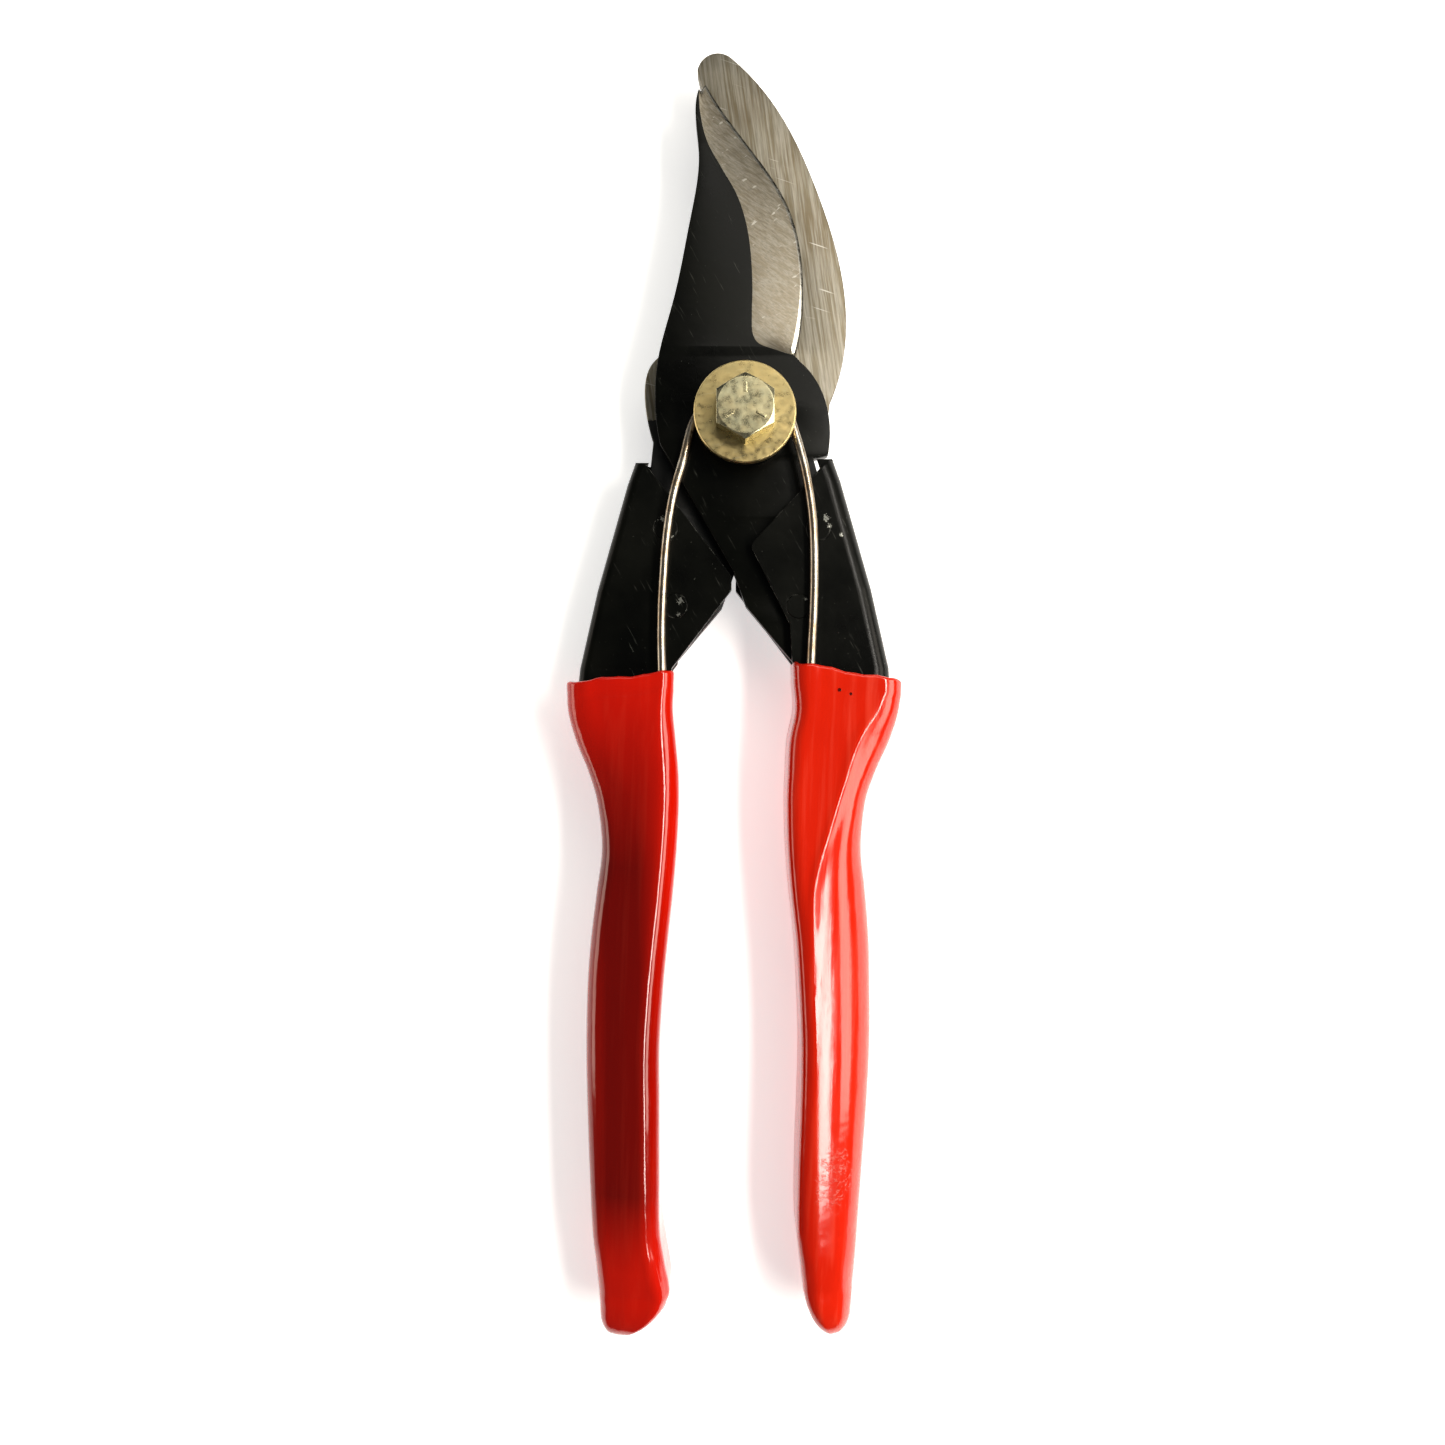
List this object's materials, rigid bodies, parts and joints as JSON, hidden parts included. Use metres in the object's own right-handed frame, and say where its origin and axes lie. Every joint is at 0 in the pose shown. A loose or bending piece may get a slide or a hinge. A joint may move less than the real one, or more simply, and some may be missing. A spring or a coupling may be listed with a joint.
{
  "type": "bypass pruner",
  "caption": "Hand pruner with a curved bevelled blade that passes a blunt hook, pressed steel handles with dipped grips, a wire spring round the pivot bolt and a thumb catch",
  "frame": {"origin": "on the pivot bolt's axis, at the rear face of the pivot nut, which is the lowest point when the tool lies on its back", "axes": "+Z along the pivot bolt towards its head; +Y towards the blade tips; +X towards the side with the cutting blade's handle"},
  "size_m": [0.0603, 0.2336, 0.0221],
  "materials": {
    "blade_steel": "black semi-gloss paint with a ground, brushed steel bevel",
    "hook_steel": "bare ground steel, straight grain, black paint below the pivot",
    "black_enamel": "semi-gloss black paint",
    "red_vinyl": "glossy dipped vinyl",
    "yellow_zinc": "yellow passivated zinc plate on steel",
    "spring_wire": "bright drawn spring wire",
    "catch_plating": "clear zinc plate"
  },
  "bodies": {
    "counter_side": {"counter_blade": "hook_steel", "counter_handle": "black_enamel", "counter_grip": "red_vinyl", "counter_rivet_upper": "black_enamel", "counter_rivet_lower": "black_enamel", "pivot_bolt": "yellow_zinc", "pivot_nut": "yellow_zinc", "rear_washer": "yellow_zinc", "coil_spacer": "yellow_zinc", "front_washer": "yellow_zinc", "return_spring": "spring_wire", "catch_rivet": "catch_plating", "catch_spacer": "catch_plating"},
    "cutting_side": {"cutting_blade": "blade_steel", "cutting_handle": "black_enamel", "cutting_grip": "red_vinyl", "cutting_rivet_upper": "black_enamel", "cutting_rivet_lower": "black_enamel", "keeper_pin": "catch_plating"},
    "catch": {"catch_lever": "catch_plating"}
  },
  "joints": [
    {"name": "blade_pivot", "type": "hinge", "parent": "counter_side", "child": "cutting_side", "pos_m": [0, 0, 0.01065], "axis": [0, 0, 1], "range_deg": [0, 30], "stiffness_Nm_per_rad": 0.5, "springref_deg": 68.75, "deforming": ["return_spring"]},
    {"name": "catch_pivot", "type": "hinge", "parent": "counter_side", "child": "catch", "pos_m": [-0.0035, -0.017, 0.0022], "axis": [0, 0, 1], "range_deg": [0, 28]}
  ]
}
